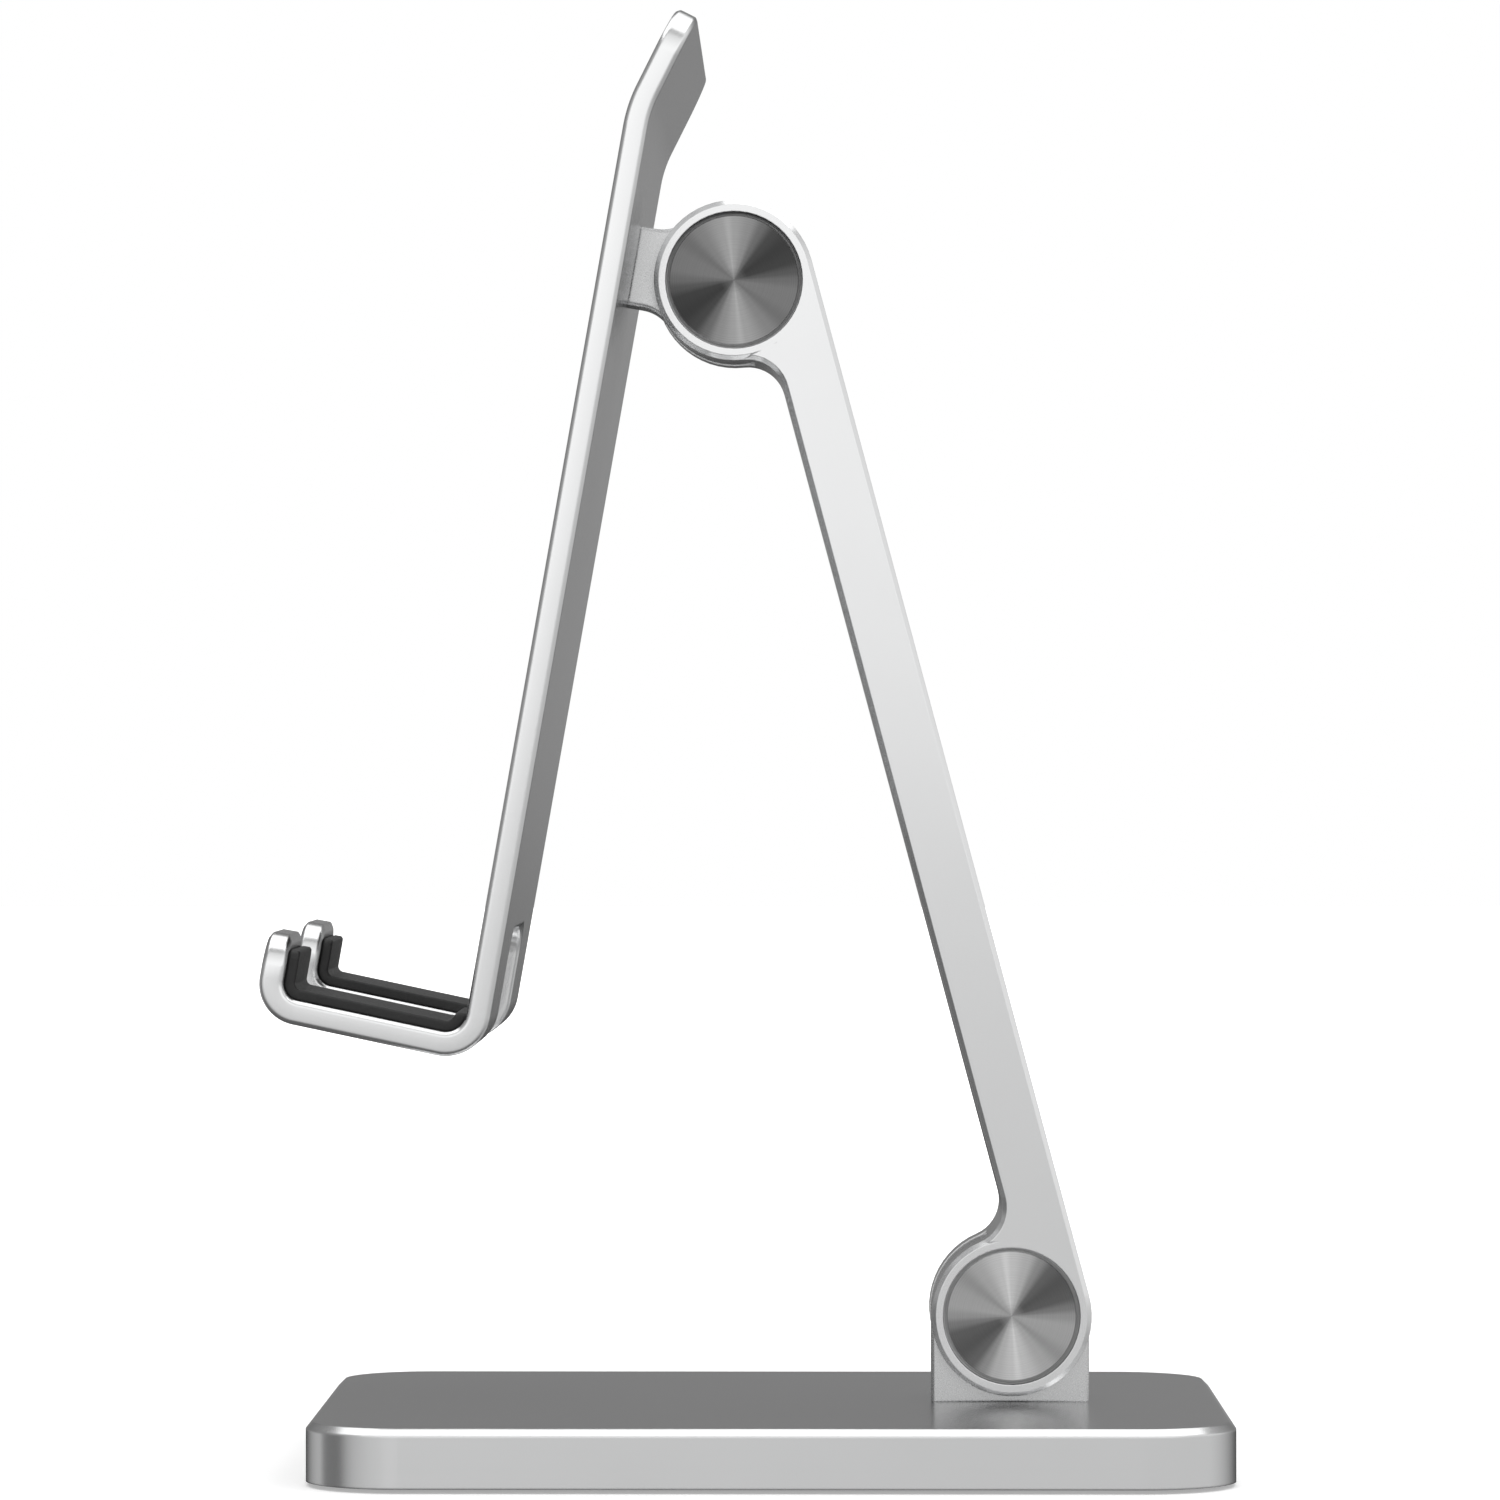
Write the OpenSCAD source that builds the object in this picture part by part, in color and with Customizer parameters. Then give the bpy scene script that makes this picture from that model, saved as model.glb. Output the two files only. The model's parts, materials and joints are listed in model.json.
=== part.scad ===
// Folding tablet stand: a weighted base, an arm and a support panel, joined by two
// friction hinges whose axes run from side to side.
// +X is the stand's side, -Y is the user's side and +Z is up. The origin is the
// middle of the base's underside, on the desk.

/* [Base] */
// Length of the base, from the user's side to the back
base_length = 120; // [116:1:140]
// Width of the base, from side to side
base_width = 90; // [90:1:110]
// Height of the base's top face above the desk
base_height = 8.2; // [8.2:0.1:10]
// Radius of the base's corners in plan
base_corner_r = 12.5; // [11:0.5:18]
// Bevel around the base's top edge
base_bevel = 0.9; // [0.4:0.1:1.2]

/* [Arm] */
// Distance between the two hinge axes
arm_length = 141.8; // [125:0.2:160]
// Lean of the arm towards the user, in degrees from vertical
arm_lean = 15; // [5:1:25]
// Width of the arm from side to side
arm_width = 20; // [19:0.5:24]
// Radius of the round eye at each end of the arm
eye_r = 10.6; // [10.2:0.1:12]
// How far behind the hinge axes the bar's front edge lies
bar_setback = 2.7; // [1:0.1:4]

/* [Panel] */
// Lean of the panel away from the user, in degrees from vertical
panel_tilt = 10; // [0:1:20]
// Width of the panel from side to side
panel_width = 88; // [80:1:100]
// Thickness of the bent aluminium sheet
sheet = 3.1; // [2.8:0.1:3.6]
// Height of the panel above the upper hinge, up to where the top lip bends back
panel_rise = 17.5; // [12:0.5:25]
// Depth of the panel below the upper hinge, down to the tray's upper face
panel_drop = 103.2; // [90:0.2:120]
// Length of the top lip
lip_length = 14.3; // [10:0.1:20]
// Angle by which the top lip bends back, in degrees
lip_bend = 16.6; // [5:0.1:30]
// Clear depth of the tray, from the panel to the hooks' upright ends
tray_depth = 23.7; // [20:0.1:30]
// Angle between the panel and the tray, in degrees
tray_angle = 88; // [80:1:95]
// Height of the hooks' upright ends above the tray
hook_height = 8.3; // [7:0.1:14]
// Width of each of the two hooks
hook_width = 25; // [20:1:32]

/* [Hidden] */
$fn = 64;

eps = 0.01;
aluminium = [0.78, 0.79, 0.80];
spun_aluminium = [0.55, 0.56, 0.57];
dark_silicone = [0.16, 0.16, 0.17];
zinc_steel = [0.62, 0.63, 0.65];

// Hinges: the tongue is the flat middle leaf that sits between an eye's two ears.
tongue_t = 8;
washer_t = 0.5;
washer_r = 8.6;
slot_w = tongue_t + 2 * washer_t + 0.1;
slot_reach = eye_r + 0.3;
ear_web = 2;
web_x = slot_w / 2 + ear_web;
cap_hole_r = 9.1;
knuckle_r = eye_r - 0.15;
edge_bevel = 0.6;
tongue_bevel = 0.35;
neck_r = 5;
bolt_r = 3;
bolt_hole_r = bolt_r + 0.05;
bolt_head_r = 5;
bolt_head_t = 1.8;
bolt_socket_r = 2.3;
bolt_end_x = 8.4;
nut_r = 5.77;
nut_t = 1.1;
spring_t = 0.3;
spring_cone = 0.08;
spring_outer_r = 5.6;
cap_seat_r = cap_hole_r - 0.02;
cap_seat_x = 8.55;
cap_wall_r = 8.85;
cap_face_r = 8.45;
cap_face_x = arm_width / 2 - 0.4;

// Base
pad_t = 1;
pad_proud = 0.5;
pad_inset = 6;
weight_l = 104;
weight_w = 72;
weight_t = 4.2;
weight_corner_r = 4;
weight_gap = 0.2;
weight_top = pad_t + weight_t;
pocket_top = weight_top + weight_gap;
m3_r = 1.5;
m3_head_r = 2.8;
m3_end_z = 7;
weight_screw_x = weight_w / 2 - 8;
weight_screw_y = weight_l / 2 - 8;
m4_r = 2;
m4_head_r = 3.6;
m4_head_t = 2;
thread_gap = 0.02;
bracket_screw_pitch = 12;
bracket_screw_depth = 6;

// Hinge places. The lower eye clears the base's top by one bevel and a little more.
base_pivot_y = 31.7;
base_pivot_z = base_height + eye_r + 1.2;

// Panel, in its own frame: y is the distance behind the upper hinge, z the way up the sheet.
panel_back = -(eye_r + 2.9);
panel_front = panel_back - sheet;
bend_steps = 16;
lip_bend_r = 16;
lip_corner_r = 6;
tray_bend_r = 2.7;
hook_bend_r = 2.2;
hook_corner_r = 4.5;
hook_gap = panel_width - 2 * hook_width;
hook_x = (panel_width - hook_width) / 2;
notch_top = 13.6;
notch_corner_r = 4;
lug_h = 10.6;
tenon_h = 7;
tenon_w = 5;
tenon_t = 0.5;
front_pad_t = 0.8;
front_pad_w = 76;
front_pad_low = -84;
front_pad_high = 9;
front_pad_corner_r = 8;
hook_pad_t = 1.4;
hook_pad_w = hook_width - 3;
hook_pad_drop = 2.1;
csk_r = 3.6;
panel_screw_tip = -6.5;

// ---------- places ----------

// Moves children to the lower hinge axis
module at_base_pivot() {
    translate([0, base_pivot_y, base_pivot_z])
        children();
}

// Moves children to the lower hinge and turns +Z along the arm
module at_arm() {
    at_base_pivot()
        rotate([arm_lean, 0, 0])
            children();
}

// Moves children to the upper hinge axis, without turning them
module at_upper_pivot() {
    at_arm()
        translate([0, 0, arm_length])
            rotate([-arm_lean, 0, 0])
                children();
}

// Moves children to the upper hinge and turns +Z up the panel
module at_panel() {
    at_upper_pivot()
        rotate([-panel_tilt, 0, 0])
            children();
}

// ---------- shapes used more than once ----------

// Turns a solid made along Z so that it lies along +X
module along_x() {
    rotate([0, 90, 0])
        children();
}

// Extrudes a side profile [y, z] from side to side
module across(width) {
    along_x()
        rotate([0, 0, 90])
            linear_extrude(height = width, center = true)
                children();
}

// Rectangle with true round corners, centred
module rounded_rect(length_x, length_y, r) {
    square([length_x - 2 * r, length_y], center = true);
    square([length_x, length_y - 2 * r], center = true);
    for (sx = [-1, 1], sy = [-1, 1])
        translate([sx * (length_x / 2 - r), sy * (length_y / 2 - r)])
            circle(r);
}

// Rectangle with all four corners bevelled, centred
module bevelled_rect(length_x, length_y, bevel) {
    x = length_x / 2;
    y = length_y / 2;
    polygon([
        [-x + bevel, -y], [x - bevel, -y], [x, -y + bevel], [x, y - bevel],
        [x - bevel, y], [-x + bevel, y], [-x, y - bevel], [-x, -y + bevel],
    ]);
}

// Disc about the X axis, with both rims bevelled
module bevelled_disc(r, width, bevel) {
    x = width / 2;
    along_x()
        rotate_extrude()
            polygon([
                [0, -x], [r - bevel, -x], [r, -x + bevel],
                [r, x - bevel], [r - bevel, x], [0, x],
            ]);
}

// Bar along +Z with all four long edges bevelled, from y0 to y1
module bevelled_bar(y0, y1, width, length_z, bevel) {
    translate([0, (y0 + y1) / 2, 0])
        linear_extrude(height = length_z)
            bevelled_rect(width, y1 - y0, bevel);
}

// Hollow corner between a disc of radius r about X and a wall at y = wall that faces -Y.
// The corner lies on the +Z side of the disc, and its round has radius neck_r.
module neck_corner(r, wall, width, bevel) {
    cy = wall - neck_r;
    cz = sqrt((r + neck_r) * (r + neck_r) - cy * cy);
    touch_y = cy * r / (r + neck_r);
    touch_z = cz * r / (r + neck_r);
    x = width / 2;
    difference() {
        across(width)
            polygon([
                [touch_y, touch_z], [wall + bevel, touch_z - 1],
                [wall + bevel, cz], [wall, cz],
            ]);
        translate([0, cy, cz])
            along_x()
                cylinder(r = neck_r, h = width + 1, center = true);
        for (side = [-1, 1])
            translate([side * x, cy, cz])
                rotate([0, side * 90, 0])
                    translate([0, 0, -bevel])
                        cylinder(r1 = neck_r, r2 = neck_r + 2 * bevel, h = 2 * bevel);
    }
}

// ---------- base ----------

// Round-cornered slab whose top edge is bevelled, from z0 up to z1
module bevelled_slab(z0, z1) {
    r = base_corner_r;
    b = base_bevel;
    x = base_width / 2;
    y = base_length / 2;
    translate([0, y - r, 0])
        rotate([90, 0, 0])
            linear_extrude(height = 2 * (y - r))
                polygon([[-x, z0], [x, z0], [x, z1 - b], [x - b, z1], [-x + b, z1], [-x, z1 - b]]);
    translate([-x + r, 0, 0])
        rotate([90, 0, 90])
            linear_extrude(height = 2 * (x - r))
                polygon([[-y, z0], [y, z0], [y, z1 - b], [y - b, z1], [-y + b, z1], [-y, z1 - b]]);
    for (sx = [-1, 1], sy = [-1, 1])
        translate([sx * (x - r), sy * (y - r), 0])
            rotate_extrude()
                polygon([[0, z0], [r, z0], [r, z1 - b], [r - b, z1], [0, z1]]);
}

// Slot with round ends along Y, centred on the base bracket
module bracket_window(r, h) {
    for (side = [-1, 1])
        translate([0, base_pivot_y + side * bracket_screw_pitch / 2, 0])
            cylinder(r = r, h = h);
    translate([-r, base_pivot_y - bracket_screw_pitch / 2, 0])
        cube([2 * r, bracket_screw_pitch, h]);
}

// Repeats children at the counterweight's four screws
module at_weight_screws() {
    for (sx = [-1, 1], sy = [-1, 1])
        translate([sx * weight_screw_x, sy * weight_screw_y, 0])
            children();
}

// Repeats children at the base bracket's two screws
module at_bracket_screws() {
    for (side = [-1, 1])
        translate([0, base_pivot_y + side * bracket_screw_pitch / 2, 0])
            children();
}

module base_plate() {
    color(aluminium)
        difference() {
            bevelled_slab(pad_proud, base_height);
            translate([0, 0, pad_proud - eps])
                linear_extrude(height = pad_t - pad_proud + eps)
                    rounded_rect(base_width - 2 * pad_inset, base_length - 2 * pad_inset,
                                 base_corner_r - pad_inset);
            translate([0, 0, pad_t - eps])
                linear_extrude(height = pocket_top - pad_t + eps)
                    rounded_rect(weight_w + 2 * weight_gap, weight_l + 2 * weight_gap,
                                 weight_corner_r + weight_gap);
            at_weight_screws()
                cylinder(r = m3_r + thread_gap, h = m3_end_z + 0.1);
            at_bracket_screws()
                cylinder(r = m4_r + 0.15, h = base_height + 1);
        }
}

module counterweight() {
    color(zinc_steel)
        difference() {
            translate([0, 0, pad_t])
                linear_extrude(height = weight_t)
                    rounded_rect(weight_w, weight_l, weight_corner_r);
            bracket_window(m4_head_r + 0.6, weight_top + 1);
            at_weight_screws() {
                cylinder(r = m3_r + 0.2, h = weight_top + 1);
                translate([0, 0, pad_t - eps])
                    cylinder(r1 = m3_head_r + 0.1, r2 = m3_r + 0.1, h = m3_head_r - m3_r);
            }
        }
}

module counterweight_screws() {
    color(zinc_steel)
        at_weight_screws()
            difference() {
                translate([0, 0, pad_t + 0.05])
                    rotate_extrude()
                        polygon([
                            [0, 0], [m3_head_r, 0], [m3_r, m3_head_r - m3_r],
                            [m3_r, m3_end_z - pad_t - 0.35], [m3_r - 0.3, m3_end_z - pad_t - 0.05],
                            [0, m3_end_z - pad_t - 0.05],
                        ]);
                translate([0, 0, pad_t])
                    cylinder(r = 1.15, h = 1.2, $fn = 6);
            }
}

module base_pad() {
    color(dark_silicone)
        linear_extrude(height = pad_t)
            rounded_rect(base_width - 2 * pad_inset - 0.2, base_length - 2 * pad_inset - 0.2,
                         base_corner_r - pad_inset - 0.1);
}

// Tongue that stands on the base: a straight block with a round top about the hinge axis
module base_bracket() {
    block_h = base_pivot_z - base_height;
    color(aluminium)
        difference() {
            at_base_pivot() {
                bevelled_disc(knuckle_r, tongue_t, tongue_bevel);
                translate([0, 0, -block_h])
                    bevelled_bar(-knuckle_r, knuckle_r, tongue_t, block_h, tongue_bevel);
            }
            at_base_pivot()
                along_x()
                    cylinder(r = bolt_hole_r, h = tongue_t + 1, center = true);
            at_bracket_screws()
                translate([0, 0, base_height - 1])
                    cylinder(r = m4_r + thread_gap, h = bracket_screw_depth + 1.4);
        }
}

module base_bracket_screws() {
    shank = base_height + bracket_screw_depth - pocket_top;
    color(zinc_steel)
        at_bracket_screws()
            translate([0, 0, pocket_top])
                difference() {
                    rotate_extrude()
                        polygon([
                            [0, -m4_head_t], [m4_head_r - 0.3, -m4_head_t], [m4_head_r, -m4_head_t + 0.3],
                            [m4_head_r, 0], [m4_r, 0], [m4_r, shank - 0.4], [m4_r - 0.4, shank], [0, shank],
                        ]);
                    translate([0, 0, -m4_head_t - eps])
                        cylinder(r = 1.45, h = 1.3, $fn = 6);
                }
}

// ---------- arm ----------

// Everything that is cut out of one end of the arm. The bar runs towards +Z.
module eye_cuts() {
    translate([-slot_w / 2, -eye_r - 1, -eye_r - 1])
        cube([slot_w, 2 * eye_r + 2, eye_r + 1 + slot_reach]);
    along_x()
        cylinder(r = bolt_hole_r, h = arm_width + 1, center = true);
    for (side = [-1, 1])
        rotate([0, side * 90, 0])
            translate([0, 0, web_x])
                cylinder(r = cap_hole_r, h = arm_width);
}

// Solid eye with the hollow corner between it and the bar's front edge
module eye_solid() {
    bevelled_disc(eye_r, arm_width, edge_bevel);
    neck_corner(eye_r, bar_setback, arm_width, edge_bevel);
}

// Places children at both ends of the arm, with the bar always towards their +Z
module at_both_ends() {
    children();
    translate([0, 0, arm_length])
        mirror([0, 0, 1])
            children();
}

module arm() {
    color(aluminium)
        at_arm()
            difference() {
                union() {
                    bevelled_bar(bar_setback, eye_r, arm_width, arm_length, edge_bevel);
                    at_both_ends()
                        eye_solid();
                }
                at_both_ends()
                    eye_cuts();
            }
}

// ---------- hinge hardware, about the X axis ----------

module pivot_bolt() {
    color(zinc_steel)
        along_x()
            difference() {
                rotate_extrude()
                    polygon([
                        [0, -bolt_end_x], [bolt_r - 0.4, -bolt_end_x], [bolt_r, -bolt_end_x + 0.4],
                        [bolt_r, web_x], [bolt_head_r, web_x],
                        [bolt_head_r, web_x + bolt_head_t - 0.3],
                        [bolt_head_r - 0.3, web_x + bolt_head_t], [0, web_x + bolt_head_t],
                    ]);
                translate([0, 0, web_x + bolt_head_t - 1.3])
                    cylinder(r = bolt_socket_r, h = 2, $fn = 6);
            }
}

module pivot_nut() {
    seat = web_x + 2 * (spring_t + spring_cone);
    color(zinc_steel)
        along_x()
            translate([0, 0, -seat - nut_t])
                difference() {
                    cylinder(r = nut_r, h = nut_t, $fn = 6);
                    translate([0, 0, -1])
                        cylinder(r = bolt_r + thread_gap, h = nut_t + 2);
                }
}

// Two coned washers, back to back
module spring_washers() {
    ri = bolt_r + 0.15;
    ro = spring_outer_r;
    color(zinc_steel)
        along_x()
            translate([0, 0, -web_x])
                for (lift = [0, 1])
                    translate([0, 0, -lift * 2 * (spring_t + spring_cone)])
                        mirror([0, 0, 1 - lift])
                            rotate_extrude()
                                polygon([
                                    [ri, spring_cone], [ro, 0],
                                    [ro, spring_t], [ri, spring_t + spring_cone],
                                ]);
}

// Plain washers that rub on both faces of the tongue
module friction_washers() {
    color(dark_silicone)
        along_x()
            for (side = [-1, 1])
                translate([0, 0, side * (slot_w - washer_t) / 2])
                    difference() {
                        cylinder(r = washer_r, h = washer_t, center = true);
                        cylinder(r = bolt_r + 0.1, h = 1, center = true);
                    }
}

// Spun disc that closes an eye's round recess, on the side that is +1 or -1
module eye_cap(side) {
    color(spun_aluminium)
        rotate([0, side * 90, 0])
            rotate_extrude()
                polygon([
                    [0, cap_seat_x], [cap_seat_r, cap_seat_x], [cap_seat_r, cap_seat_x + 0.3],
                    [cap_wall_r, cap_seat_x + 0.4], [cap_wall_r, cap_face_x - 0.4],
                    [cap_face_r, cap_face_x], [0, cap_face_x],
                ]);
}

module lower_pivot_bolt() {
    at_base_pivot() pivot_bolt();
}

module lower_pivot_nut() {
    at_arm() pivot_nut();
}

module lower_spring_washers() {
    at_base_pivot() spring_washers();
}

module lower_friction_washers() {
    at_base_pivot() friction_washers();
}

module lower_cap_left() {
    at_base_pivot() eye_cap(-1);
}

module lower_cap_right() {
    at_base_pivot() eye_cap(1);
}

module upper_pivot_bolt() {
    at_upper_pivot() pivot_bolt();
}

module upper_pivot_nut() {
    at_upper_pivot() pivot_nut();
}

module upper_spring_washers() {
    at_upper_pivot() spring_washers();
}

module upper_friction_washers() {
    at_upper_pivot() friction_washers();
}

module upper_cap_left() {
    at_upper_pivot() eye_cap(-1);
}

module upper_cap_right() {
    at_upper_pivot() eye_cap(1);
}

// ---------- panel ----------

// Distance from a bend's sharp corner to where its round begins
function bend_run(r, angle) = r * tan(angle / 2);

function reversed(points) = [for (i = [len(points) - 1 : -1 : 0]) points[i]];

// Points on a bend of radius r about the centre c, as the sheet's heading swings from one
// angle to the other. Headings and points lie in the panel's side plane, [y, z].
function turn(c, r, from, to) = [
    for (i = [0 : bend_steps])
        let (heading = from + (to - from) * i / bend_steps)
            c + r * [-sin(heading), cos(heading)]
];

// Headings: down the panel, out along the tray, and up again in the hook's upright end
down = -90;
out = down - (180 - tray_angle);
up_again = -270;
tray_start = bend_run(tray_bend_r, down - out);
hook_start = bend_run(hook_bend_r, out - up_again);
tray_run = tray_depth - tray_start - hook_start;
hook_run = hook_height - sheet / 2 - hook_start;
tray_centre = [panel_front - tray_bend_r, -panel_drop + tray_start];
hook_centre = tray_centre + tray_run * [cos(out), sin(out)]
    + (hook_bend_r - tray_bend_r) * [sin(out), -cos(out)];
hook_tip = hook_centre + [-hook_bend_r - sheet / 2, hook_run];
hook_top = hook_tip[1] + sheet / 2;
notch_z = -panel_drop + notch_top;

// Headings and lengths of the top lip
lip_heading = 90 - lip_bend;
lip_start = bend_run(lip_bend_r + sheet, lip_bend);
lip_run = lip_length - lip_start;
lip_centre = [panel_back + lip_bend_r, panel_rise - lip_start];

// Both bends of a hook, at a distance d in front of the sheet's front face
function hook_line(d) = concat(
    turn(tray_centre, tray_bend_r - d, down, out),
    turn(hook_centre, hook_bend_r - d, out, up_again));

// Bend and straight of the top lip, on the face whose bend has radius r
function lip_line(r) =
    let (bend = turn(lip_centre, r, 90, lip_heading))
        concat(bend, [bend[bend_steps] + lip_run * [cos(lip_heading), sin(lip_heading)]]);

// Side profile of the whole bent sheet: up its front face, down its back, round a hook's tip
sheet_profile = concat(
    reversed(hook_line(0)), lip_line(lip_bend_r + sheet), reversed(lip_line(lip_bend_r)),
    hook_line(-sheet), turn(hook_tip, sheet / 2, 90, -90));

// Side profile of the pad in a hook
pad_end_z = hook_top - hook_pad_drop;
hook_pad_profile = concat(
    hook_line(0), [[hook_centre[0] - hook_bend_r, pad_end_z]],
    [[hook_centre[0] - hook_bend_r + hook_pad_t, pad_end_z]], reversed(hook_line(hook_pad_t)));

// What is left of a square corner outside its round: the corner is at the origin, the
// material lies towards -X and -Z, and the cut runs along Y.
module corner_cut(r, depth) {
    translate([-r, 0, -r])
        rotate([-90, 0, 0])
            difference() {
                translate([0, -r - 1, -depth / 2])
                    cube([r + 1, r + 1, depth]);
                cylinder(r = r, h = depth + 1, center = true);
            }
}

module support_panel() {
    color(aluminium)
        at_panel()
            difference() {
                across(panel_width)
                    polygon(sheet_profile);
                panel_cuts();
                lip_corners();
                hook_corners();
            }
}

// Round corners of the top lip
module lip_corners() {
    tip = lip_line(lip_bend_r)[bend_steps + 1];
    for (side = [0, 1])
        mirror([side, 0, 0])
            translate([panel_width / 2, tip[0], tip[1]])
                rotate([-lip_bend, 0, 0])
                    corner_cut(lip_corner_r, 4 * sheet);
}

// Round corners of the hooks' upright ends
module hook_corners() {
    for (side = [-1, 1], flip = [0, 1])
        translate([side * hook_x, hook_tip[0], hook_top])
            mirror([flip, 0, 0])
                translate([hook_width / 2, 0, 0])
                    corner_cut(hook_corner_r, 4 * sheet);
}

module panel_cuts() {
    // Notch with round upper corners, down between the hooks
    translate([0, panel_back + 1, notch_z])
        rotate([90, 0, 0])
            linear_extrude(height = tray_depth + 3 * sheet + 1)
                translate([0, -notch_top])
                    rounded_rect(hook_gap, 2 * notch_top, notch_corner_r);
    translate([-hook_gap / 2, panel_front - tray_depth - 2 * sheet, notch_z - 2 * notch_top])
        cube([hook_gap, tray_depth + 3 * sheet + 1, notch_top + 1]);
    // Recess for the pad on the front
    translate([0, panel_front + front_pad_t, 0])
        rotate([90, 0, 0])
            linear_extrude(height = 1)
                front_pad_outline(0.1);
    // Shallow pocket for the bracket's tenon, and the screw's countersunk hole
    translate([0, panel_back, 0])
        cube([tenon_w + 0.1, 2 * (tenon_t + 0.05), tenon_h + 0.1], center = true);
    translate([0, panel_front + front_pad_t, 0])
        rotate([-90, 0, 0]) {
            cylinder(r = m4_r + 0.15, h = sheet);
            translate([0, 0, -eps])
                cylinder(r1 = csk_r + 0.1, r2 = m4_r + 0.1, h = csk_r - m4_r);
        }
}

// Outline of the front pad in the panel's plane, grown all round
module front_pad_outline(grow) {
    translate([0, (front_pad_low + front_pad_high) / 2])
        rounded_rect(front_pad_w + 2 * grow, front_pad_high - front_pad_low + 2 * grow,
                     front_pad_corner_r + grow);
}

module front_pad() {
    color(dark_silicone)
        at_panel()
            translate([0, panel_front + front_pad_t, 0])
                rotate([90, 0, 0])
                    linear_extrude(height = front_pad_t)
                        front_pad_outline(0);
}

// Pad that lines one hook, from the panel's foot to just under the upright's tip
module hook_pad(side) {
    color(dark_silicone)
        at_panel()
            translate([side * hook_x, 0, 0])
                across(hook_pad_w)
                    polygon(hook_pad_profile);
}

module hook_pad_left() {
    hook_pad(-1);
}

module hook_pad_right() {
    hook_pad(1);
}

// Tongue of the upper hinge, with the lug that carries the panel
module panel_bracket() {
    color(aluminium)
        at_panel()
            difference() {
                union() {
                    bevelled_disc(knuckle_r, tongue_t, tongue_bevel);
                    rotate([90, 0, 0])
                        bevelled_bar(-lug_h / 2, lug_h / 2, tongue_t, -panel_back, tongue_bevel);
                    for (side = [0, 1])
                        mirror([0, 0, side])
                            rotate([90, 0, 0])
                                neck_corner(knuckle_r, -lug_h / 2, tongue_t, tongue_bevel);
                    translate([0, panel_back, 0])
                        cube([tenon_w, 2 * tenon_t, tenon_h], center = true);
                }
                along_x()
                    cylinder(r = bolt_hole_r, h = tongue_t + 1, center = true);
                translate([0, panel_back - 1, 0])
                    rotate([-90, 0, 0])
                        cylinder(r = m4_r + thread_gap, h = panel_screw_tip - panel_back + 1.3);
            }
}

module panel_bracket_screw() {
    length = panel_screw_tip - panel_front - front_pad_t - 0.05;
    color(zinc_steel)
        at_panel()
            translate([0, panel_front + front_pad_t + 0.05, 0])
                rotate([-90, 0, 0])
                    difference() {
                        rotate_extrude()
                            polygon([
                                [0, 0], [csk_r, 0], [m4_r, csk_r - m4_r],
                                [m4_r, length - 0.4], [m4_r - 0.4, length], [0, length],
                            ]);
                        translate([0, 0, -eps])
                            cylinder(r = 1.45, h = 1.3, $fn = 6);
                    }
}

base_plate();
counterweight();
counterweight_screws();
base_pad();
base_bracket();
base_bracket_screws();
arm();
lower_pivot_bolt();
lower_pivot_nut();
lower_spring_washers();
lower_friction_washers();
lower_cap_left();
lower_cap_right();
upper_pivot_bolt();
upper_pivot_nut();
upper_spring_washers();
upper_friction_washers();
upper_cap_left();
upper_cap_right();
panel_bracket();
panel_bracket_screw();
support_panel();
front_pad();
hook_pad_left();
hook_pad_right();
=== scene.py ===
"""Studio picture of a folding tablet stand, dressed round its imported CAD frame."""

import json
import math

import bmesh
import bpy
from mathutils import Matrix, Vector


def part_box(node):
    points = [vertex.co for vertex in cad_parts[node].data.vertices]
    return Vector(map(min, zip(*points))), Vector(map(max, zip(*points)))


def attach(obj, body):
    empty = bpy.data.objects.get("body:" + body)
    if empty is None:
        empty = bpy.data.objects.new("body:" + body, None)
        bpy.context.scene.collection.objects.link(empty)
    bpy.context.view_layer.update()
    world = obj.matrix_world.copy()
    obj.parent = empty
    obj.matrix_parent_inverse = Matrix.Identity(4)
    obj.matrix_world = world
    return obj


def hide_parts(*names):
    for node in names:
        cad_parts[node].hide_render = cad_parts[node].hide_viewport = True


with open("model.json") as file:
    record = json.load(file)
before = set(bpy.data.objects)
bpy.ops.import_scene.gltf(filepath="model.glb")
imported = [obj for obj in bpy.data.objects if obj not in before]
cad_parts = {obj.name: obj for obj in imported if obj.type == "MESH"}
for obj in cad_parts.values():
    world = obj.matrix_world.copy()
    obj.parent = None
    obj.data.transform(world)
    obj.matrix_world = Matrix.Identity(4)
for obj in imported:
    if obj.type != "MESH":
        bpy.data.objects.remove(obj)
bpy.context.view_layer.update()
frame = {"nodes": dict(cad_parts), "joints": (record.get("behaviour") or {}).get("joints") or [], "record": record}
NODES = frame["nodes"]
SLOT_OF = {part["node"]: part["material_slot"] for part in frame["record"]["subparts"]}
MM = 0.001

# ---------------------------------------------------------------- camera

CAMERA_PLACE = Vector((0.958, 0.00505, 0.0915))
CAMERA_TARGET = Vector((0, -0.00296, 0.09484))
CAMERA_LENS = 172.15

scene = bpy.context.scene


def add_object(name, data):
    thing = bpy.data.objects.new(name, data)
    scene.collection.objects.link(thing)
    return thing


camera = add_object("camera", bpy.data.cameras.new("camera"))
scene.camera = camera
camera.location = CAMERA_PLACE
camera.rotation_euler = (CAMERA_TARGET - CAMERA_PLACE).to_track_quat("-Z", "Y").to_euler()
camera.data.sensor_width = 36
camera.data.lens = CAMERA_LENS
scene.view_settings.view_transform = "Standard"


# ---------------------------------------------------------------- node helpers

NOISE_LOW, NOISE_HIGH = 0.3, 0.7  # nearly all of a noise texture's values lie between these
BEVEL_SAMPLES = 6


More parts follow.
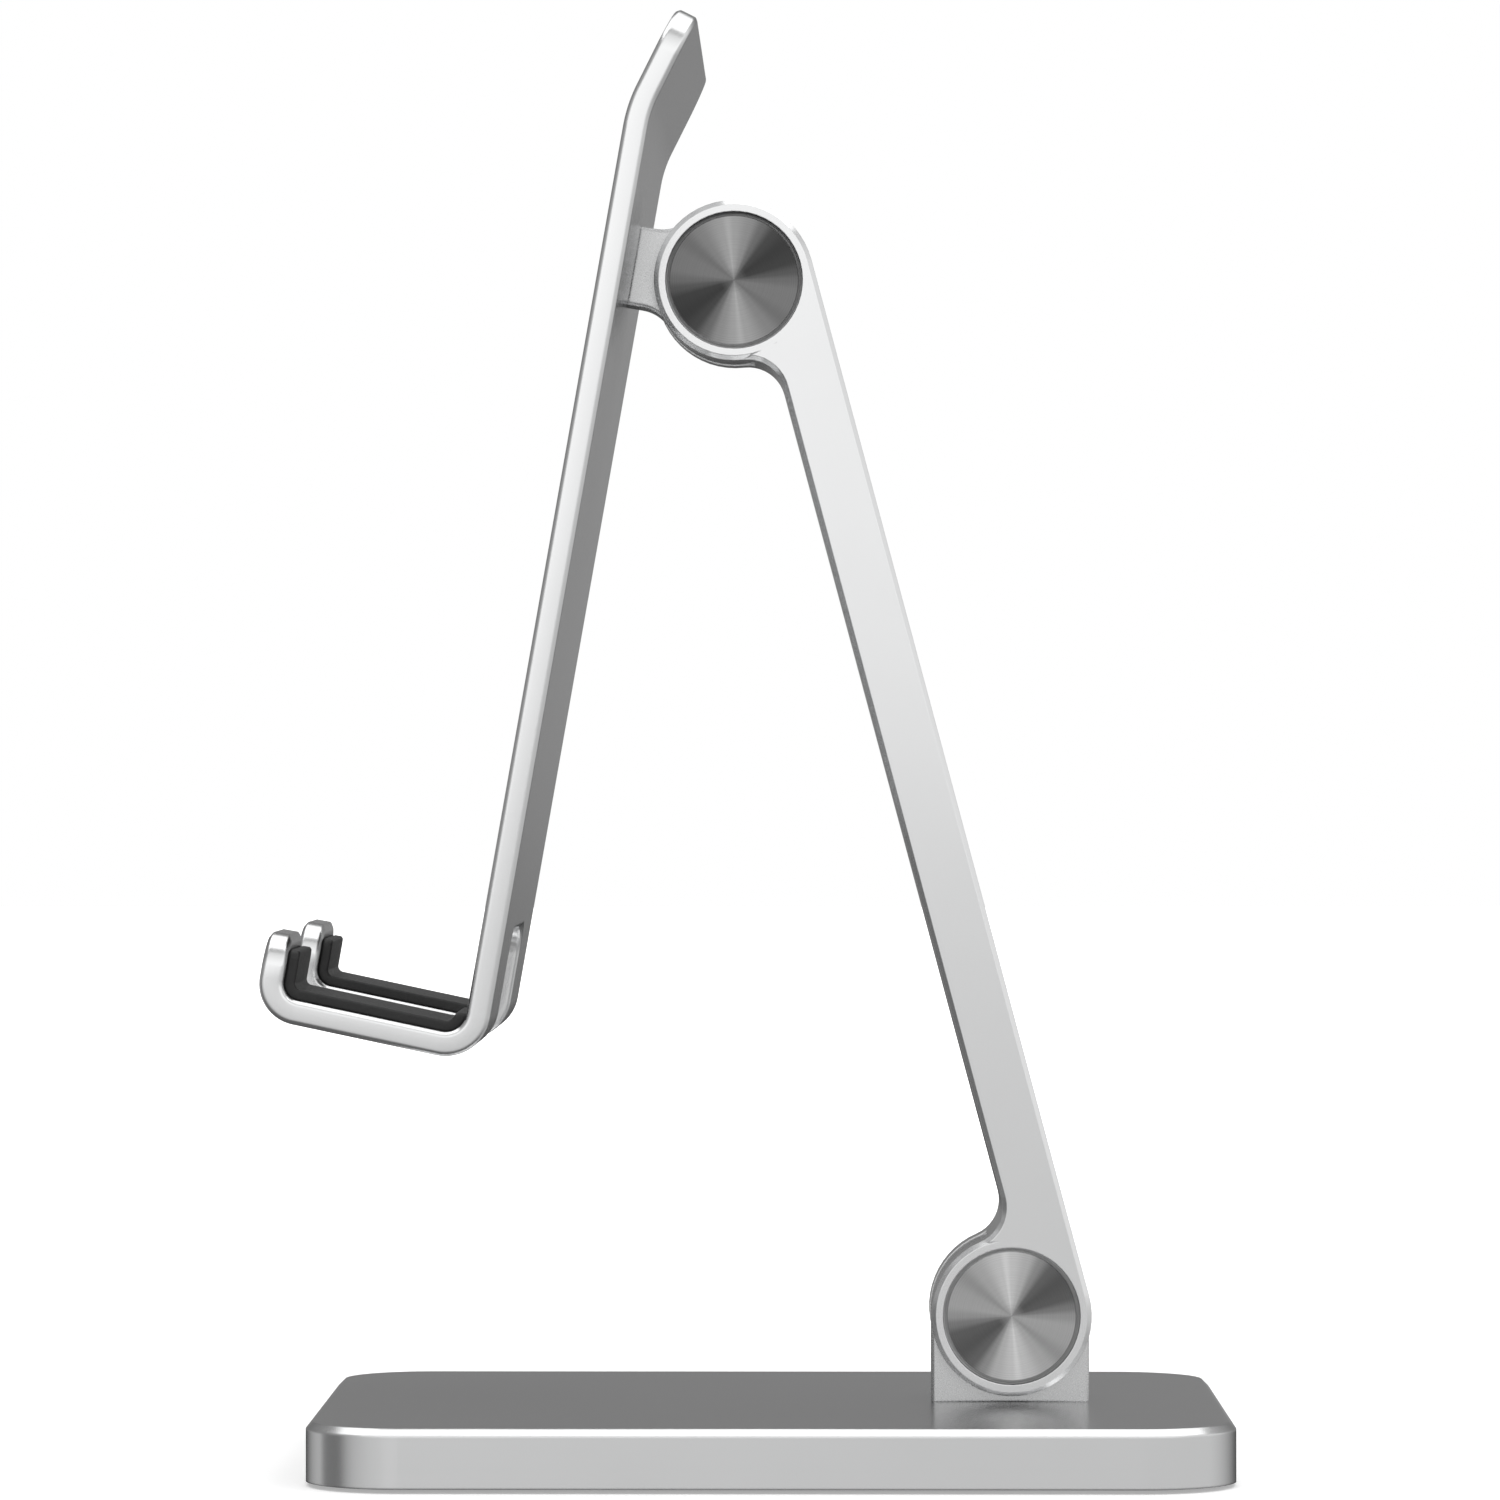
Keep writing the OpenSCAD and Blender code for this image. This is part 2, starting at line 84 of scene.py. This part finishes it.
class Shader:
    """A node tree with short calls for adding and joining nodes."""

    def __init__(self, tree):
        self.tree = tree
        tree.nodes.clear()

    def add(self, kind, **settings):
        node = self.tree.nodes.new("ShaderNode" + kind)
        for name, value in settings.items():
            setattr(node, name, value)
        return node

    def put(self, socket, value):
        """Sets a socket to a constant, or joins it to another node's socket."""
        if isinstance(value, bpy.types.NodeSocket):
            self.tree.links.new(value, socket)
        else:
            socket.default_value = value

    def math(self, operation, *values, clamp=False):
        node = self.add("Math", operation=operation, use_clamp=clamp)
        for socket, value in zip(node.inputs, values):
            self.put(socket, value)
        return node.outputs[0]

    def vector(self, operation, *values):
        node = self.add("VectorMath", operation=operation)
        for socket, value in zip(node.inputs, values):
            self.put(socket, value)
        return node.outputs[0]

    def split(self, vector):
        node = self.add("SeparateXYZ")
        self.put(node.inputs[0], vector)
        return node.outputs

    def coordinates(self, kind="Object"):
        return self.add("TexCoord").outputs[kind]

    def noise(self, vector, scale, detail=3.0, roughness=0.55):
        node = self.add("TexNoise")
        self.put(node.inputs["Vector"], vector)
        self.put(node.inputs["Scale"], scale)
        self.put(node.inputs["Detail"], detail)
        self.put(node.inputs["Roughness"], roughness)
        return node.outputs["Fac"]

    def remap(self, value, low, high, from_low=0.0, from_high=1.0):
        node = self.add("MapRange", clamp=True)
        for socket, number in zip(node.inputs, (value, from_low, from_high, low, high)):
            self.put(socket, number)
        return node.outputs[0]

    def spread(self, noise, low, high):
        """A noise stretched from low to high."""
        return self.remap(noise, low, high, NOISE_LOW, NOISE_HIGH)

    def ramp(self, value, stops, smooth=True):
        """Grey or colour along 0 to 1, from (place, grey or colour) stops."""
        node = self.add("ValToRGB")
        node.color_ramp.interpolation = "EASE" if smooth else "LINEAR"
        points = node.color_ramp.elements
        while len(points) < len(stops):
            points.new(1.0)
        for point, (place, tone) in zip(points, sorted(stops)):
            point.position = place
            rgb = tone if isinstance(tone, tuple) else (tone, tone, tone)
            point.color = (*rgb, 1.0)
        self.put(node.inputs[0], value)
        return node.outputs["Color"]

    def mix(self, factor, a, b, blend="MIX"):
        node = self.add("Mix", data_type="RGBA", blend_type=blend)
        self.put(node.inputs["Factor"], factor)
        self.put(node.inputs[6], a)
        self.put(node.inputs[7], b)
        return node.outputs[2]

    def rounded(self, radius):
        """Normals that turn softly over every sharp edge, as after tumbling and blasting."""
        node = self.add("Bevel", samples=BEVEL_SAMPLES)
        self.put(node.inputs["Radius"], radius)
        return node.outputs[0]

    def bump(self, height, strength, distance, over=None):
        node = self.add("Bump")
        if over:
            self.put(node.inputs["Normal"], over)
        self.put(node.inputs["Strength"], strength)
        self.put(node.inputs["Distance"], distance)
        self.put(node.inputs["Height"], height)
        return node.outputs["Normal"]

    def end(self, surface, kind="OutputMaterial"):
        self.put(self.add(kind).inputs["Surface"], surface)


def grey(value, blue=0.0):
    """A colour close to grey, a little cooler when blue is above 0."""
    return (value * (1 - blue), value, value * (1 + blue), 1.0)


def new_material(name):
    """A new material and the Shader that fills it."""
    material = bpy.data.materials.new(name)
    material.use_nodes = True
    return material, Shader(material.node_tree)


def principled(name, **sockets):
    """A new material with one Principled shader. Returns the material, its Shader and the BSDF."""
    material, shader = new_material(name)
    bsdf = shader.add("BsdfPrincipled")
    shader.end(bsdf.outputs[0])
    for socket, value in sockets.items():
        shader.put(bsdf.inputs[socket.replace("_", " ")], value)
    return material, shader, bsdf


# ---------------------------------------------------------------- materials

EDGE_ROUND = 0.4 * MM
ARM_EDGE_ROUND = 0.15 * MM
GRAZING_TINT = 0.55
COOL = 0.004  # how far the aluminium leans from grey to blue


def anodised(name, tone, roughness, edge_round=EDGE_ROUND):
    """Fine blasted and anodised aluminium: a tight grain, and faint drift in tone and polish.
    The oxide layer takes some of the mirror away at grazing angles."""
    material, s, bsdf = principled(name, Metallic=1.0, Specular_Tint=grey(GRAZING_TINT))
    place = s.coordinates()
    drift = s.noise(place, 35.0)
    grain = s.noise(place, 5200.0, detail=2.0)
    colour = s.mix(s.spread(drift, 0.0, 1.0), grey(tone * 0.975, COOL), grey(tone, COOL))
    specks = s.ramp(grain, [(NOISE_LOW, 0.62), (NOISE_HIGH, 1.0)])
    colour = s.mix(0.06, colour, specks, "MULTIPLY")
    s.put(bsdf.inputs["Base Color"], colour)
    s.put(bsdf.inputs["Roughness"], s.spread(grain, roughness - 0.03, roughness + 0.03))
    s.put(bsdf.inputs["Normal"], s.bump(grain, 0.06, 0.02 * MM, s.rounded(edge_round)))
    return material


# Painted reflections on a turned disc, set in its base colour: how bright the painted highlights
# and shade are at each part of a half turn, from the back of the stand (0) over the top (0.5)
# and round to the user's side (1)
PAINTED_FAN = [
    (0.0, 0.36), (0.045, 0.24), (0.10, 0.14), (0.20, 0.12), (0.28, 0.16), (0.345, 0.34),
    (0.41, 0.58), (0.50, 0.74), (0.535, 0.86), (0.57, 0.72), (0.70, 0.50), (0.78, 0.37),
    (0.86, 0.44), (0.94, 0.45), (1.0, 0.36),
]
PAINTED_FAN_MEAN = 0.40
PAINTED_FAN_BLUR = 0.10  # within this radius, as a share of the diameter, the painted highlights and shade fade to their mean grey
RIM_STARTS = 0.464  # radius, as a share of the diameter, at which the turned face ends and the rim's painted shade begins
RIM_EDGE = 0.01
GROOVES = 130.0  # cells of noise across the diameter


def spun(name, tone, rim_shade_tone):
    """Face-turned aluminium: concentric grooves with radial anisotropy, and painted highlights and shade in
    sectors round the centre, set in the base colour.
    """
    material, s, bsdf = principled(name, Metallic=1.0, Anisotropic=0.75, Roughness=0.34)
    centred = s.vector("SUBTRACT", s.coordinates("Generated"), (0.5, 0.5, 0.5))
    _, y, z = s.split(centred)
    angle = s.math("DIVIDE", s.math("ARCTAN2", z, y), math.pi)
    half_turn = s.math("FRACT", angle)
    radius = s.math("SQRT", s.math("ADD", s.math("MULTIPLY", y, y), s.math("MULTIPLY", z, z)))
    blur = s.remap(radius, 0.8, 0.0, 0.0, PAINTED_FAN_BLUR)
    # painted reflections: sectors of highlight and shade in the base colour, fading to their mean grey near the
    # centre
    painted_fan = s.mix(blur, s.ramp(half_turn, PAINTED_FAN), grey(PAINTED_FAN_MEAN))
    ring = s.add("CombineXYZ")
    s.put(ring.inputs[0], s.math("MULTIPLY", radius, GROOVES))
    groove = s.noise(ring.outputs[0], 1.0, detail=2.0)
    colour = s.mix(1.0, painted_fan, grey(tone), "MULTIPLY")
    colour = s.mix(0.35, colour, s.ramp(groove, [(0.25, 0.6), (0.75, 1.0)]), "MULTIPLY")
    # painted shade: past RIM_STARTS the cap's rim is one flat grey, set low to draw a thin dark outline round the
    # disc
    rim = s.remap(radius, 0.0, 1.0, RIM_STARTS, RIM_STARTS + RIM_EDGE)
    colour = s.mix(rim, colour, grey(rim_shade_tone))
    s.put(bsdf.inputs["Base Color"], colour)
    tangent = s.add("Tangent", direction_type="RADIAL", axis="X")
    s.put(bsdf.inputs["Tangent"], tangent.outputs[0])
    s.put(bsdf.inputs["Normal"], s.bump(groove, 0.1, 0.03 * MM))
    return material


def silicone(name, tone):
    """Dark matte silicone rubber with a dusty micro texture."""
    material, s, bsdf = principled(name, Roughness=0.5, IOR=1.42)
    s.put(bsdf.inputs["Specular IOR Level"], 0.5)
    place = s.coordinates()
    speck = s.noise(place, 2600.0, detail=3.0)
    cloud = s.noise(place, 90.0)
    colour = s.mix(s.spread(cloud, 0.0, 1.0), grey(tone * 0.85), grey(tone * 1.15))
    s.put(bsdf.inputs["Base Color"], colour)
    s.put(bsdf.inputs["Roughness"], s.spread(speck, 0.42, 0.6))
    s.put(bsdf.inputs["Normal"], s.bump(speck, 0.25, 0.03 * MM))
    return material


def zinc(name):
    """Zinc-plated steel: bright, with cloudy passivation."""
    material, s, bsdf = principled(name, Metallic=1.0)
    place = s.coordinates()
    cloud = s.noise(place, 260.0, detail=5.0, roughness=0.7)
    plating = s.ramp(cloud, [(NOISE_LOW, (0.52, 0.53, 0.55)), (NOISE_HIGH, (0.70, 0.71, 0.72))])
    s.put(bsdf.inputs["Base Color"], plating)
    s.put(bsdf.inputs["Roughness"], s.spread(cloud, 0.24, 0.42))
    s.put(bsdf.inputs["Normal"], s.bump(cloud, 0.1, 0.03 * MM))
    return material


def polymer(name):
    """Dark friction polymer with a soft moulded texture."""
    material, s, bsdf = principled(name, Roughness=0.45)
    place = s.coordinates()
    speck = s.noise(place, 1500.0)
    s.put(bsdf.inputs["Base Color"], s.ramp(speck, [(NOISE_LOW, 0.035), (NOISE_HIGH, 0.055)]))
    s.put(bsdf.inputs["Normal"], s.bump(speck, 0.2, 0.02 * MM))
    return material


LOOKS = {
    "anodised_aluminium": anodised("anodised_aluminium_look", tone=0.80, roughness=0.22),
    "spun_aluminium": spun("spun_aluminium_look", tone=1.0, rim_shade_tone=0.6),
    "dark_silicone": silicone("dark_silicone_look", tone=0.014),
    "zinc_steel": zinc("zinc_steel_look"),
    "friction_polymer": polymer("friction_polymer_look"),
}
# Painted shade: the upper caps are the same turned aluminium at half the brightness, with a darker rim
shaded_upper_disc = spun("spun_aluminium_upper_shaded_look", tone=0.50, rim_shade_tone=0.5)
OWN_LOOKS = {
    "upper_cap_left": shaded_upper_disc,
    "upper_cap_right": shaded_upper_disc,
    "arm": anodised("arm_metal_look", tone=0.80, roughness=0.22, edge_round=ARM_EDGE_ROUND),
    # Painted shade: the tongues set between the arm's ears are darker copies of the anodised aluminium, a little
    # rougher too
    "base_bracket": anodised("foot_tongue_shaded_look", tone=0.70, roughness=0.26),
    "panel_bracket": anodised("panel_tongue_shaded_look", tone=0.72, roughness=0.26),
}

for name, node in NODES.items():
    node.data.materials.clear()
    node.data.materials.append(OWN_LOOKS.get(name, LOOKS[SLOT_OF[name]]))


# ---------------------------------------------------------------- bent sheet and pads

# The panel's own plane, before it leans back by PANEL_TILT: y is the distance behind the
# upper hinge, negative on the user's side, and z is the height above it
SHEET = 3.1 * MM
PANEL_BACK = -13.5 * MM
PANEL_TILT = math.radians(10)
PANEL_WIDTH = 88 * MM
PANEL_RISE = 17.5 * MM
PANEL_DROP = 103.2 * MM
LIP_LENGTH = 14.3 * MM
LIP_BEND = math.radians(16.6)
LIP_BEND_R = 16 * MM
LIP_CORNER_R = 6 * MM
TRAY_DEPTH = 23.7 * MM
TRAY_TURN = math.radians(92)
TRAY_BEND_R = 2.7 * MM
HOOK_TURN = math.radians(88)
HOOK_BEND_R = 2.2 * MM
HOOK_HEIGHT = 8.3 * MM
HOOK_WIDTH = 25 * MM
HOOK_CORNER_R = 4.5 * MM
NOTCH_TOP = 13.6 * MM
NOTCH_R = 4 * MM
SHEET_BEVEL = 0.6 * MM
HOOK_PAD_T = 1.4 * MM
HOOK_PAD_DROP = 2.1 * MM
HOOK_PAD_R = 1.2 * MM
HOOK_PAD_BEVEL = 0.3 * MM
FRONT_PAD_T = 0.8 * MM
FRONT_PAD_PROUD = 0.05 * MM
FRONT_PAD_R = 8 * MM
FRONT_PAD_BEVEL = 0.25 * MM
FRONT_PAD_HIGH, FRONT_PAD_LOW = 9 * MM, -84 * MM
GROOVE = 0.15 * MM  # gap between the front pad and the rim of its recess
BEND_STEPS = 16
CUT_TOLERANCE = 1e-7
SHARP_FROM = math.radians(50)  # edges that turn by more than this stay crisp

HINGE = next(j for j in frame["joints"] if j["name"] == "panel_hinge")["pos_m"]


def bend_run(r, angle):
    """Distance from a bend's sharp corner to where its round begins."""
    return r * math.tan(angle / 2)


class Walk:
    """The sheet's front face, followed from the tip of the lip down to the tip of a hook.
    A place on the flat blank is (across, along, depth behind the front face)."""

    def __init__(self, start, heading, steps):
        self.parts = []
        along, point = 0.0, Vector(start)
        for kind, size, turn in steps:
            self.parts.append((along, point.copy(), heading, size, turn))
            length = size if kind == "run" else size * abs(turn)
            along += length
            point, heading = self.step(point, heading, size, turn, length)
        self.length = along

    @staticmethod
    def left(heading):
        return Vector((-math.sin(heading), math.cos(heading)))

    def step(self, point, heading, size, turn, distance):
        """Point and heading after going on by distance, on a run (turn 0) or a bend."""
        if not turn:
            return point + Vector((math.cos(heading), math.sin(heading))) * distance, heading
        side = math.copysign(1.0, turn)
        centre = point + self.left(heading) * size * side
        heading += side * distance / size
        return centre - self.left(heading) * size * side, heading

    def start_of(self, number):
        return self.parts[number][0]

    def bend_places(self):
        """Distances along the blank at which its bends need an edge."""
        for along, _, _, size, turn in self.parts:
            for i in range(BEND_STEPS + 1 if turn else 0):
                yield along + size * abs(turn) * i / BEND_STEPS

    def place(self, flat):
        across, along, depth = flat
        part = max((p for p in self.parts if p[0] <= along), default=self.parts[0])
        point, heading = self.step(*part[1:], along - part[0])
        y, z = point + self.left(heading) * depth
        c, s = math.cos(PANEL_TILT), math.sin(PANEL_TILT)
        return Vector((across, HINGE[1] + z * s + y * c, HINGE[2] + z * c - y * s))


LIP_HEADING = math.pi / 2 - LIP_BEND
LIP_START = bend_run(LIP_BEND_R + SHEET, LIP_BEND)
TRAY_START = bend_run(TRAY_BEND_R, TRAY_TURN)
HOOK_START = bend_run(HOOK_BEND_R, HOOK_TURN)
lip_run = LIP_LENGTH - LIP_START
lip_end = Vector((PANEL_BACK + LIP_BEND_R, PANEL_RISE - LIP_START))
lip_end += Walk.left(LIP_HEADING) * (LIP_BEND_R + SHEET)
lip_end += Vector((math.cos(LIP_HEADING), math.sin(LIP_HEADING))) * lip_run
walk = Walk(lip_end, LIP_HEADING - math.pi, [
    ("run", lip_run, 0),
    ("bend", LIP_BEND_R + SHEET, LIP_BEND),
    ("run", PANEL_RISE - LIP_START + PANEL_DROP - TRAY_START, 0),
    ("bend", TRAY_BEND_R, -TRAY_TURN),
    ("run", TRAY_DEPTH - TRAY_START - HOOK_START, 0),
    ("bend", HOOK_BEND_R, -HOOK_TURN),
    ("run", HOOK_HEIGHT - HOOK_START, 0),
])
FLAT_TOP, FLAT_FOOT = walk.start_of(2), walk.start_of(3)


def at_height(z):
    """Distance along the blank of a height z on the straight of the panel."""
    return FLAT_TOP + (PANEL_RISE - LIP_START) - z


def outline(corners, steps=8):
    """Round-cornered loop from (x, y, radius) corners that meet at right angles, with the
    material on its left. Returns (point, direction into the material) pairs."""
    loop = []
    for i, (x, y, r) in enumerate(corners):
        here = Vector((x, y))
        come = (here - Vector(corners[i - 1][:2])).normalized()
        go = (Vector(corners[(i + 1) % len(corners)][:2]) - here).normalized()
        turn = math.copysign(1.0, come.cross(go))
        centre = here + (go - come) * r
        for k in range(steps + 1):
            swing = math.pi / 2 * k / steps
            out = come * math.sin(swing) - go * math.cos(swing)
            point = centre + out * r
            loop.append((point, -out * turn))
    return loop


def edge_profile(depth_from, depth_to, bevel):
    """(inset, depth) pairs across the edge of a slab whose two rims are bevelled."""
    # a bevel with both its corners taken off, as shares of its size
    soft = [(1.0, 0.0), (0.70, 0.12), (0.12, 0.70), (0.0, 1.0)]
    first = [(i * bevel, depth_from + d * bevel) for i, d in soft]
    return first + [(i * bevel, depth_to - d * bevel) for i, d in reversed(soft)]


def full_round(depth, depth_from, depth_to):
    """Inset at a depth where the whole edge is one half round."""
    r = (depth_to - depth_from) / 2
    return r - math.sqrt(max(0.0, r * r - (depth - depth_from - r) ** 2))


def slab(name, loop, profile, round_after=None, recess=None):
    """Bent slab with bevelled edges, cut from the flat blank and bent along the walk.
    Past round_after along the blank its edge is fully round. recess is (loop, depth)."""
    bm = bmesh.new()
    depth_from, depth_to = profile[0][1], profile[-1][1]
    rings = []
    for inset, depth in profile:
        ring = []
        for point, inward in loop:
            shift = inset
            if round_after is not None:
                share = min(1.0, max(0.0, (point.y - round_after) / HOOK_CORNER_R))
                shift += share * (full_round(depth, depth_from, depth_to) - inset)
            flat = point + inward * shift
            ring.append(bm.verts.new((flat.x, flat.y, depth)))
        rings.append(ring)
    count = len(loop)
    for low, high in zip(rings, rings[1:]):
        for i in range(count):
            j = (i + 1) % count
            bm.faces.new((low[i], high[i], high[j], low[j]))
    bm.faces.new(rings[-1])
    front_edges = [bm.edges.get((rings[0][i], rings[0][(i + 1) % count])) for i in range(count)]
    if recess:
        inner, floor_depth = recess
        rims = [[bm.verts.new((p.x, p.y, d)) for p, _ in inner] for d in (depth_from, floor_depth)]
        size = len(inner)
        for i in range(size):
            j = (i + 1) % size
            bm.faces.new((rims[0][i], rims[0][j], rims[1][j], rims[1][i]))
            front_edges.append(bm.edges.get((rims[0][i], rims[0][j])))
        bm.faces.new(rims[1])
        bmesh.ops.triangle_fill(bm, edges=front_edges, use_beauty=True)
    else:
        bm.faces.new(rings[0])
    for along in walk.bend_places():
        bmesh.ops.bisect_plane(
            bm, geom=bm.verts[:] + bm.edges[:] + bm.faces[:], dist=CUT_TOLERANCE,
            plane_co=(0, along, 0), plane_no=(0, 1, 0))
    bmesh.ops.recalc_face_normals(bm, faces=bm.faces)
    for vert in bm.verts:
        vert.co = walk.place(vert.co)
    for face in bm.faces:
        face.smooth = True
    for edge in bm.edges:
        edge.smooth = edge.calc_face_angle(0.0) < SHARP_FROM
    mesh = bpy.data.meshes.new(name)
    bm.normal_update()
    bm.to_mesh(mesh)
    bm.free()
    thing = add_object(name, mesh)
    weighted = thing.modifiers.new("weighted_normals", "WEIGHTED_NORMAL")
    weighted.weight = 100  # the large faces decide
    weighted.keep_sharp = True
    return thing


def stand_in(thing, node):
    """thing is shown in place of this CAD node, on the same body and in the same finish."""
    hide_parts(node)
    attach(thing, "panel")
    thing.data.materials.append(LOOKS[SLOT_OF[node]])


half, near = PANEL_WIDTH / 2, PANEL_WIDTH / 2 - HOOK_WIDTH  # outer and inner side of a hook
notch, tip = at_height(NOTCH_TOP - PANEL_DROP), walk.length
blank = outline([
    (-half, 0, LIP_CORNER_R), (half, 0, LIP_CORNER_R),
    (half, tip, HOOK_CORNER_R), (near, tip, HOOK_CORNER_R),
    (near, notch, NOTCH_R), (-near, notch, NOTCH_R),
    (-near, tip, HOOK_CORNER_R), (-half, tip, HOOK_CORNER_R),
])


def pad_loop(node, top, foot, radius, grow=0.0):
    """Round-cornered outline of a pad on the blank, as wide as its CAD node."""
    low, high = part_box(node)
    x0, x1 = low.x - grow, high.x + grow
    y0, y1 = top - grow, foot + grow
    return outline([(x0, y0, radius), (x1, y0, radius), (x1, y1, radius), (x0, y1, radius)])


front_place = ("front_pad", at_height(FRONT_PAD_HIGH), at_height(FRONT_PAD_LOW), FRONT_PAD_R)
panel = slab("bent_panel", blank, edge_profile(0, SHEET, SHEET_BEVEL),
             round_after=tip - HOOK_CORNER_R,
             recess=(pad_loop(*front_place, GROOVE), FRONT_PAD_T))
stand_in(panel, "support_panel")

front = slab("front_cushion", pad_loop(*front_place),
             edge_profile(-FRONT_PAD_PROUD, FRONT_PAD_T, FRONT_PAD_BEVEL))
stand_in(front, "front_pad")

for node in ("hook_pad_left", "hook_pad_right"):
    lining = slab(node.replace("pad", "lining"),
                  pad_loop(node, FLAT_FOOT, tip - HOOK_PAD_DROP, HOOK_PAD_R),
                  edge_profile(-HOOK_PAD_T, 0, HOOK_PAD_BEVEL))
    stand_in(lining, node)


# ---------------------------------------------------------------- stage and light


def stage_object(name, vertices, faces):
    mesh = bpy.data.meshes.new(name)
    mesh.from_pydata(vertices, [], faces)
    thing = add_object(name, mesh)
    return thing


def hide_from_reflections(thing):
    """The camera sees this object, but the metal mirrors the lights and the sky instead."""
    thing.visible_glossy = False
    thing.visible_transmission = False


FLOOR_HALF = 4.0
FLOOR_DROP = 0.05 * MM  # keeps the floor clear of the sheet under the base
FLOOR_TONE = 0.92
GLOW_FROM, GLOW_TO = 0.2, 0.8  # the floor's own light rises between these distances
GLOW_NEAR, GLOW_FAR = 0.3, 1.1
BACKDROP_RADIUS = 6

floor_corners = [(-FLOOR_HALF, -FLOOR_HALF), (FLOOR_HALF, -FLOOR_HALF),
                 (FLOOR_HALF, FLOOR_HALF), (-FLOOR_HALF, FLOOR_HALF)]
floor = stage_object("floor", [(x, y, -FLOOR_DROP) for x, y in floor_corners], [(0, 1, 2, 3)])
hide_from_reflections(floor)
material, s = new_material("floor")
paper = s.add("BsdfDiffuse")
s.put(paper.inputs["Color"], grey(FLOOR_TONE))
glow = s.add("Emission")
distance = s.add("VectorMath", operation="LENGTH")
s.put(distance.inputs[0], s.coordinates())
strength = s.remap(distance.outputs["Value"], GLOW_NEAR, GLOW_FAR, GLOW_FROM, GLOW_TO)
s.put(glow.inputs["Strength"], strength)
both = s.add("AddShader")
s.put(both.inputs[0], paper.outputs[0])
s.put(both.inputs[1], glow.outputs[0])
s.end(both.outputs[0])
floor.data.materials.append(material)

# Backdrop: a white dome that only the camera sees
bpy.ops.mesh.primitive_uv_sphere_add(radius=BACKDROP_RADIUS, segments=32, ring_count=16)
dome = bpy.context.object
dome.name = "backdrop"
hide_from_reflections(dome)
dome.visible_diffuse = False
dome.visible_shadow = False
material, s = new_material("backdrop")
s.end(s.add("Emission").outputs[0])
dome.data.materials.append(material)

# The room that the metal mirrors, by compass direction and height. The compass starts
# at -x (0) and passes -y (0.25), +x (0.5, the camera's side) and +y (0.75)
world = bpy.data.worlds.new("studio")
scene.world = world
world.use_nodes = True
s = Shader(world.node_tree)
x, y, z = s.split(s.coordinates("Generated"))
turn = s.math("ARCTAN2", y, x)
compass = s.remap(turn, 0.0, 1.0, -math.pi, math.pi)
horizon = s.ramp(compass, [
    (0.0, 0.43), (0.03, 0.37), (0.09, 0.42), (0.13, 0.52), (0.185, 0.56), (0.21, 0.24),
    (0.25, 0.19), (0.285, 0.24), (0.31, 0.46), (0.34, 0.56), (0.43, 0.74), (0.462, 1.05),
    (0.485, 0.90), (0.5, 0.72), (0.70, 0.70), (0.75, 0.70), (0.80, 0.60), (0.88, 0.44),
    (0.97, 0.46), (1.0, 0.43),
], smooth=False)
low = s.ramp(compass, [
    (0.0, 0.10), (0.05, 0.10), (0.12, 0.45), (0.187, 0.62), (0.21, 0.22), (0.285, 0.16),
    (0.31, 0.40), (0.34, 0.56), (0.40, 0.66), (0.62, 0.66), (0.75, 0.68), (0.80, 0.60),
    (0.86, 0.44), (0.94, 0.14), (1.0, 0.10),
], smooth=False)
high = s.ramp(compass, [
    (0.0, 0.33), (0.20, 0.24), (0.35, 0.60), (0.44, 0.92), (0.56, 0.92), (0.68, 1.0),
    (0.79, 0.95), (0.86, 0.50), (0.92, 0.35), (1.0, 0.33),
], smooth=False)
# Each band fades in between two heights, as shares of a right angle above the horizon
height = s.math("DIVIDE", s.math("ARCSINE", z), math.pi / 2)
room = horizon
for starts, complete, tone in (
    (-0.013, -0.055, low),
    (-0.06, -0.5, grey(0.13)),
    (0.025, 0.10, high),
    (0.15, 0.7, grey(0.36)),
):
    room = s.mix(s.remap(height, 0.0, 1.0, starts, complete), room, tone)
back = s.add("Background")
s.put(back.inputs["Color"], room)
s.end(back.outputs[0], "OutputWorld")


def softbox(name, place, target, size, radiance):
    """Square area light whose surface has the given radiance."""
    data = bpy.data.lights.new(name, "AREA")
    data.shape = "RECTANGLE"
    data.size, data.size_y = size
    data.energy = radiance * size[0] * size[1] * math.pi
    light = add_object(name, data)
    light.location = place
    light.rotation_euler = (Vector(target) - Vector(place)).to_track_quat("-Z", "Y").to_euler()
    light.visible_camera = False


softbox("top_light", place=(-0.2, 0, 1.0), target=(-0.2, 0, 0), size=(1.3, 1.7), radiance=1.2)
softbox("key_light", place=(0.75, 0, 0.54), target=(0, 0, 0.54), size=(1.8, 0.9), radiance=0.34)
